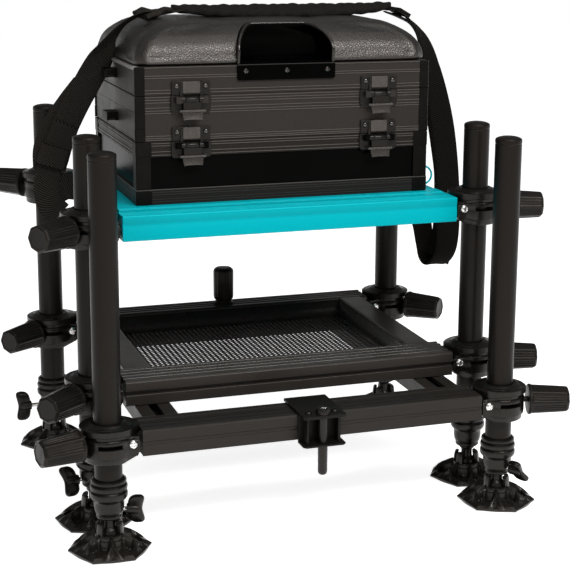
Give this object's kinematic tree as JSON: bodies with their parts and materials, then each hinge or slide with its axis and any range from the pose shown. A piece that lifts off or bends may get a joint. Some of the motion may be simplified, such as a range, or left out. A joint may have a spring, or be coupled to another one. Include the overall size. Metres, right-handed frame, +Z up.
{
  "type": "fishing seat box",
  "caption": "Cushioned tackle seat box with hinged lid, side drawers and latches on a rail frame with clamped telescopic legs, a mesh tray and a sliding footplate.",
  "frame": {"origin": "on the floor under the centre of the bounding box", "axes": "+X to the right seen from the front, +Y to the rear, +Z up"},
  "size_m": [0.743, 0.5604, 0.6787],
  "materials": {
    "turquoise_alloy": "satin turquoise coat on alloy rails",
    "black_alloy": "black anodised, satin",
    "black_panel": "smooth black panels",
    "black_plastic": "moulded, lightly textured",
    "leather_cover": "grained black upholstery",
    "webbing": "woven black webbing"
  },
  "bodies": {
    "frame": {"seat_frame": "turquoise_alloy", "seat_clamp_rear_left": "black_plastic", "seat_clamp_mid_left": "black_plastic", "seat_clamp_rear_right": "black_plastic", "seat_clamp_mid_right": "black_plastic", "base_box": "black_panel"},
    "tray": {"tray_frame": "black_alloy", "mesh_tray": "black_alloy", "tray_clamp_rear_left": "black_plastic", "tray_clamp_mid_left": "black_plastic", "tray_clamp_rear_right": "black_plastic", "tray_clamp_mid_right": "black_plastic"},
    "footplate": {"footplate": "black_alloy", "accessory_bracket": "black_alloy"},
    "leg_rear_left": {"leg_rear_left": "black_alloy"},
    "stem_rear_left": {"foot_stem_rear_left": "black_plastic"},
    "foot_rear_left": {"mud_foot_rear_left": "black_plastic"},
    "wing_rear_left": {"wing_screw_rear_left": "black_plastic"},
    "leg_mid_left": {"leg_mid_left": "black_alloy"},
    "stem_mid_left": {"foot_stem_mid_left": "black_plastic"},
    "foot_mid_left": {"mud_foot_mid_left": "black_plastic"},
    "wing_mid_left": {"wing_screw_mid_left": "black_plastic"},
    "leg_front_left": {"leg_front_left": "black_alloy"},
    "stem_front_left": {"foot_stem_front_left": "black_plastic"},
    "foot_front_left": {"mud_foot_front_left": "black_plastic"},
    "wing_front_left": {"wing_screw_front_left": "black_plastic"},
    "leg_rear_right": {"leg_rear_right": "black_alloy"},
    "stem_rear_right": {"foot_stem_rear_right": "black_plastic"},
    "foot_rear_right": {"mud_foot_rear_right": "black_plastic"},
    "wing_rear_right": {"wing_screw_rear_right": "black_plastic"},
    "leg_mid_right": {"leg_mid_right": "black_alloy"},
    "stem_mid_right": {"foot_stem_mid_right": "black_plastic"},
    "foot_mid_right": {"mud_foot_mid_right": "black_plastic"},
    "wing_mid_right": {"wing_screw_mid_right": "black_plastic"},
    "leg_front_right": {"leg_front_right": "black_alloy"},
    "stem_front_right": {"foot_stem_front_right": "black_plastic"},
    "foot_front_right": {"mud_foot_front_right": "black_plastic"},
    "wing_front_right": {"wing_screw_front_right": "black_plastic"},
    "seat_knob_rear_left": {"seat_knob_rear_left": "black_plastic"},
    "seat_knob_mid_left": {"seat_knob_mid_left": "black_plastic"},
    "seat_knob_rear_right": {"seat_knob_rear_right": "black_plastic"},
    "seat_knob_mid_right": {"seat_knob_mid_right": "black_plastic"},
    "tray_knob_rear_left": {"tray_knob_rear_left": "black_plastic"},
    "tray_knob_mid_left": {"tray_knob_mid_left": "black_plastic"},
    "tray_knob_rear_right": {"tray_knob_rear_right": "black_plastic"},
    "tray_knob_mid_right": {"tray_knob_mid_right": "black_plastic"},
    "foot_knob_front_left": {"foot_knob_front_left": "black_plastic"},
    "foot_knob_front_right": {"foot_knob_front_right": "black_plastic"},
    "footplate_lock": {"footplate_lock": "black_plastic"},
    "middle": {"middle_box": "black_alloy"},
    "lid": {"lid_frame": "black_alloy", "seat_cushion": "leather_cover", "hand_grip": "black_plastic", "shoulder_strap": "webbing"},
    "upper_drawer": {"upper_drawer": "black_alloy"},
    "lower_drawer": {"lower_drawer": "black_alloy"},
    "upper_latch_left": {"upper_latch_left": "black_alloy"},
    "lower_latch_left": {"lower_latch_left": "black_alloy"},
    "upper_latch_right": {"upper_latch_right": "black_alloy"},
    "lower_latch_right": {"lower_latch_right": "black_alloy"}
  },
  "joints": [
    {"name": "tray_height", "type": "slide", "parent": "frame", "child": "tray", "axis": [0, 0, 1], "range_m": [-0.02, 0.03]},
    {"name": "footplate_slide", "type": "slide", "parent": "tray", "child": "footplate", "axis": [0, -1, 0], "range_m": [0, 0.2]},
    {"name": "leg_height_rear_left", "type": "slide", "parent": "frame", "child": "leg_rear_left", "axis": [0, 0, -1], "range_m": [-0.005, 0.06]},
    {"name": "stem_height_rear_left", "type": "slide", "parent": "leg_rear_left", "child": "stem_rear_left", "axis": [0, 0, -1], "range_m": [0, 0.1]},
    {"name": "foot_tilt_rear_left", "type": "hinge", "parent": "stem_rear_left", "child": "foot_rear_left", "pos_m": [-0.2755, 0.2021, 0.0225], "axis": [0, 1, 0], "range_deg": [-12, 12]},
    {"name": "wing_turn_rear_left", "type": "hinge", "parent": "leg_rear_left", "child": "wing_rear_left", "pos_m": [-0.2755, 0.2021, 0.0624], "axis": [-1, 0, 0], "range_deg": [0, 360]},
    {"name": "leg_height_mid_left", "type": "slide", "parent": "frame", "child": "leg_mid_left", "axis": [0, 0, -1], "range_m": [-0.03, 0.06]},
    {"name": "stem_height_mid_left", "type": "slide", "parent": "leg_mid_left", "child": "stem_mid_left", "axis": [0, 0, -1], "range_m": [0, 0.1]},
    {"name": "foot_tilt_mid_left", "type": "hinge", "parent": "stem_mid_left", "child": "foot_mid_left", "pos_m": [-0.2755, -0.1259, 0.0225], "axis": [0, 1, 0], "range_deg": [-12, 12]},
    {"name": "wing_turn_mid_left", "type": "hinge", "parent": "leg_mid_left", "child": "wing_mid_left", "pos_m": [-0.2755, -0.1259, 0.0621], "axis": [-0.9848, -0.1736, 0], "range_deg": [0, 360]},
    {"name": "leg_height_front_left", "type": "slide", "parent": "footplate", "child": "leg_front_left", "axis": [0, 0, -1], "range_m": [-0.015, 0.2]},
    {"name": "stem_height_front_left", "type": "slide", "parent": "leg_front_left", "child": "stem_front_left", "axis": [0, 0, -1], "range_m": [0, 0.1]},
    {"name": "foot_tilt_front_left", "type": "hinge", "parent": "stem_front_left", "child": "foot_front_left", "pos_m": [-0.2755, -0.2254, 0.0225], "axis": [0, 1, 0], "range_deg": [-12, 12]},
    {"name": "wing_turn_front_left", "type": "hinge", "parent": "leg_front_left", "child": "wing_front_left", "pos_m": [-0.2755, -0.2254, 0.0551], "axis": [0.9659, -0.2588, 0], "range_deg": [0, 360]},
    {"name": "leg_height_rear_right", "type": "slide", "parent": "frame", "child": "leg_rear_right", "axis": [0, 0, -1], "range_m": [-0.005, 0.06]},
    {"name": "stem_height_rear_right", "type": "slide", "parent": "leg_rear_right", "child": "stem_rear_right", "axis": [0, 0, -1], "range_m": [0, 0.1]},
    {"name": "foot_tilt_rear_right", "type": "hinge", "parent": "stem_rear_right", "child": "foot_rear_right", "pos_m": [0.2755, 0.2021, 0.0225], "axis": [0, 1, 0], "range_deg": [-12, 12]},
    {"name": "wing_turn_rear_right", "type": "hinge", "parent": "leg_rear_right", "child": "wing_rear_right", "pos_m": [0.2755, 0.2021, 0.058], "axis": [1, 0, 0], "range_deg": [0, 360]},
    {"name": "leg_height_mid_right", "type": "slide", "parent": "frame", "child": "leg_mid_right", "axis": [0, 0, -1], "range_m": [-0.03, 0.06]},
    {"name": "stem_height_mid_right", "type": "slide", "parent": "leg_mid_right", "child": "stem_mid_right", "axis": [0, 0, -1], "range_m": [0, 0.1]},
    {"name": "foot_tilt_mid_right", "type": "hinge", "parent": "stem_mid_right", "child": "foot_mid_right", "pos_m": [0.2755, -0.1259, 0.0225], "axis": [0, 1, 0], "range_deg": [-12, 12]},
    {"name": "wing_turn_mid_right", "type": "hinge", "parent": "leg_mid_right", "child": "wing_mid_right", "pos_m": [0.2755, -0.1259, 0.0593], "axis": [0.5, 0.866, 0], "range_deg": [0, 360]},
    {"name": "leg_height_front_right", "type": "slide", "parent": "footplate", "child": "leg_front_right", "axis": [0, 0, -1], "range_m": [-0.015, 0.2]},
    {"name": "stem_height_front_right", "type": "slide", "parent": "leg_front_right", "child": "stem_front_right", "axis": [0, 0, -1], "range_m": [0, 0.1]},
    {"name": "foot_tilt_front_right", "type": "hinge", "parent": "stem_front_right", "child": "foot_front_right", "pos_m": [0.2755, -0.2254, 0.0225], "axis": [0, 1, 0], "range_deg": [-12, 12]},
    {"name": "wing_turn_front_right", "type": "hinge", "parent": "leg_front_right", "child": "wing_front_right", "pos_m": [0.2755, -0.2254, 0.0522], "axis": [0.5, -0.866, 0], "range_deg": [0, 360]},
    {"name": "seat_knob_turn_rear_left", "type": "hinge", "parent": "frame", "child": "seat_knob_rear_left", "pos_m": [-0.2755, 0.2021, 0.406], "axis": [-0.7071, 0.7071, 0], "range_deg": [0, 360]},
    {"name": "seat_knob_turn_mid_left", "type": "hinge", "parent": "frame", "child": "seat_knob_mid_left", "pos_m": [-0.2755, -0.1259, 0.406], "axis": [-0.788, -0.6157, 0], "range_deg": [0, 360]},
    {"name": "seat_knob_turn_rear_right", "type": "hinge", "parent": "frame", "child": "seat_knob_rear_right", "pos_m": [0.2755, 0.2021, 0.406], "axis": [0.7071, 0.7071, 0], "range_deg": [0, 360]},
    {"name": "seat_knob_turn_mid_right", "type": "hinge", "parent": "frame", "child": "seat_knob_mid_right", "pos_m": [0.2755, -0.1259, 0.406], "axis": [0.9563, -0.2924, 0], "range_deg": [0, 360]},
    {"name": "tray_knob_turn_rear_left", "type": "hinge", "parent": "tray", "child": "tray_knob_rear_left", "pos_m": [-0.2755, 0.2021, 0.183], "axis": [-0.766, -0.6428, 0], "range_deg": [0, 360]},
    {"name": "tray_knob_turn_mid_left", "type": "hinge", "parent": "tray", "child": "tray_knob_mid_left", "pos_m": [-0.2755, -0.1259, 0.183], "axis": [-0.7431, -0.6691, 0], "range_deg": [0, 360]},
    {"name": "tray_knob_turn_rear_right", "type": "hinge", "parent": "tray", "child": "tray_knob_rear_right", "pos_m": [0.2755, 0.2021, 0.183], "axis": [0.7071, -0.7071, 0], "range_deg": [0, 360]},
    {"name": "tray_knob_turn_mid_right", "type": "hinge", "parent": "tray", "child": "tray_knob_mid_right", "pos_m": [0.2755, -0.1259, 0.183], "axis": [0.9563, -0.2924, 0], "range_deg": [0, 360]},
    {"name": "foot_knob_turn_front_left", "type": "hinge", "parent": "footplate", "child": "foot_knob_front_left", "pos_m": [-0.2755, -0.2254, 0.1487], "axis": [-0.9563, -0.2924, 0], "range_deg": [0, 360]},
    {"name": "foot_knob_turn_front_right", "type": "hinge", "parent": "footplate", "child": "foot_knob_front_right", "pos_m": [0.2755, -0.2254, 0.1487], "axis": [0.9563, -0.2924, 0], "range_deg": [0, 360]},
    {"name": "footplate_lock_turn", "type": "hinge", "parent": "tray", "child": "footplate_lock", "pos_m": [0, 0.2076, 0.2003], "axis": [0, 0, 1], "range_deg": [0, 360]},
    {"name": "middle_hinge", "type": "hinge", "parent": "frame", "child": "middle", "pos_m": [0.006, 0.1909, 0.50845], "axis": [-1, 0, 0], "range_deg": [0, 90]},
    {"name": "lid_hinge", "type": "hinge", "parent": "middle", "child": "lid", "pos_m": [0.006, 0.1909, 0.56945], "axis": [-1, 0, 0], "range_deg": [0, 90], "deforming": ["shoulder_strap"]},
    {"name": "upper_drawer_slide", "type": "slide", "parent": "lid", "child": "upper_drawer", "axis": [-1, 0, 0], "range_m": [0, 0.26]},
    {"name": "lower_drawer_slide", "type": "slide", "parent": "middle", "child": "lower_drawer", "axis": [-1, 0, 0], "range_m": [0, 0.26]},
    {"name": "upper_latch_turn_left", "type": "hinge", "parent": "middle", "child": "upper_latch_left", "pos_m": [-0.128, -0.0967, 0.5638], "axis": [-1, 0, 0], "range_deg": [0, 120]},
    {"name": "lower_latch_turn_left", "type": "hinge", "parent": "frame", "child": "lower_latch_left", "pos_m": [-0.128, -0.0967, 0.5028], "axis": [-1, 0, 0], "range_deg": [0, 120]},
    {"name": "upper_latch_turn_right", "type": "hinge", "parent": "middle", "child": "upper_latch_right", "pos_m": [0.14, -0.0967, 0.5638], "axis": [-1, 0, 0], "range_deg": [0, 120]},
    {"name": "lower_latch_turn_right", "type": "hinge", "parent": "frame", "child": "lower_latch_right", "pos_m": [0.14, -0.0967, 0.5028], "axis": [-1, 0, 0], "range_deg": [0, 120]}
  ]
}
